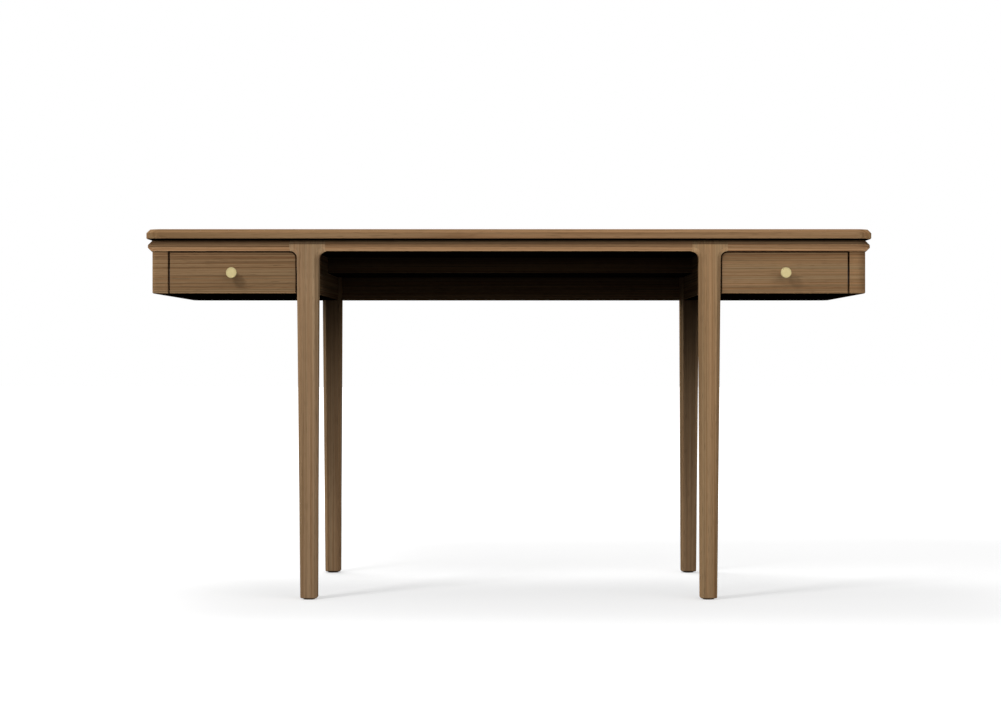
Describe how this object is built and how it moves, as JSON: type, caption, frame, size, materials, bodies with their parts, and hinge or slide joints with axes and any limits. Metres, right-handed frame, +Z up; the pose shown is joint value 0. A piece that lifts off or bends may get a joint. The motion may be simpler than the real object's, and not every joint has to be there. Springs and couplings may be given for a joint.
{
  "type": "cantilever desk",
  "caption": "Writing desk with a thin slab over a bevelled rail, tapered legs set well inboard, and drawer cases that cantilever past them.",
  "frame": {"origin": "floor point under the middle of the desk's box, which the knobs bound at the front and the slab at the back", "axes": "+X to the right of someone who faces the drawers, +Y from the drawers to the back, +Z up"},
  "size_m": [1.498, 0.6194, 0.762],
  "materials": {
    "top_wood": "matte oiled brown wood, grain along the slab",
    "rail_wood": "matte oiled brown wood, grain along the rail",
    "leg_wood": "matte oiled brown wood, grain along the leg",
    "case_wood": "matte oiled brown wood, grain level round the case",
    "drawer_box_wood": "clear matte pale hardwood",
    "black_stained_board": "matte black stain",
    "knob_brass": "fine turned, satin",
    "runner_steel": "black zinc plated",
    "screw_steel": "zinc plated",
    "cage_plastic": "moulded",
    "glide_plastic": "moulded, dark"
  },
  "bodies": {
    "frame": {"top_panel": "top_wood", "shadow_gap_spacer": "black_stained_board", "core_panel": "black_stained_board", "top_screws": "screw_steel", "front_rail_left": "rail_wood", "front_rail_centre": "rail_wood", "front_rail_right": "rail_wood", "rear_rail_left": "rail_wood", "rear_rail_centre": "rail_wood", "rear_rail_right": "rail_wood", "end_rail_left": "rail_wood", "end_rail_right": "rail_wood", "rail_tenons": "drawer_box_wood", "mitre_splines": "drawer_box_wood", "front_leg_left": "leg_wood", "front_leg_right": "leg_wood", "rear_leg_left": "leg_wood", "rear_leg_right": "leg_wood", "floor_glides": "glide_plastic", "case_end_left": "case_wood", "case_end_right": "case_wood", "case_back_left": "case_wood", "case_back_right": "case_wood", "case_inner_side_left": "case_wood", "case_inner_side_right": "case_wood", "case_floor_left": "black_stained_board", "case_floor_right": "black_stained_board", "rear_apron": "case_wood", "compartment_front": "case_wood", "compartment_floor": "black_stained_board", "runner_packers": "drawer_box_wood", "runner_cabinet_members": "runner_steel", "runner_screws": "screw_steel"},
    "drawer_left": {"drawer_front_left": "case_wood", "drawer_box_front_left": "drawer_box_wood", "drawer_box_back_left": "drawer_box_wood", "drawer_box_inner_side_left": "drawer_box_wood", "drawer_box_outer_side_left": "drawer_box_wood", "drawer_bottom_left": "drawer_box_wood", "knob_left": "knob_brass", "knob_screw_left": "screw_steel", "drawer_front_screws_left": "screw_steel", "drawer_runner_screws_left": "screw_steel", "runner_drawer_members_left": "runner_steel"},
    "runner_left": {"runner_middle_members_left": "runner_steel", "runner_ball_cages_left": "cage_plastic"},
    "drawer_right": {"drawer_front_right": "case_wood", "drawer_box_front_right": "drawer_box_wood", "drawer_box_back_right": "drawer_box_wood", "drawer_box_inner_side_right": "drawer_box_wood", "drawer_box_outer_side_right": "drawer_box_wood", "drawer_bottom_right": "drawer_box_wood", "knob_right": "knob_brass", "knob_screw_right": "screw_steel", "drawer_front_screws_right": "screw_steel", "drawer_runner_screws_right": "screw_steel", "runner_drawer_members_right": "runner_steel"},
    "runner_right": {"runner_middle_members_right": "runner_steel", "runner_ball_cages_right": "cage_plastic"}
  },
  "joints": [
    {"name": "drawer_left_slide", "type": "slide", "parent": "frame", "child": "drawer_left", "axis": [0, -1, 0], "range_m": [0, 0.43]},
    {"name": "runner_left_slide", "type": "slide", "parent": "frame", "child": "runner_left", "axis": [0, -1, 0], "range_m": [0, 0.215]},
    {"name": "drawer_right_slide", "type": "slide", "parent": "frame", "child": "drawer_right", "axis": [0, -1, 0], "range_m": [0, 0.43]},
    {"name": "runner_right_slide", "type": "slide", "parent": "frame", "child": "runner_right", "axis": [0, -1, 0], "range_m": [0, 0.215]}
  ],
  "couplings": [
    {"joint": "runner_left_slide", "follows": "drawer_left_slide", "ratio": 0.5},
    {"joint": "runner_right_slide", "follows": "drawer_right_slide", "ratio": 0.5}
  ]
}
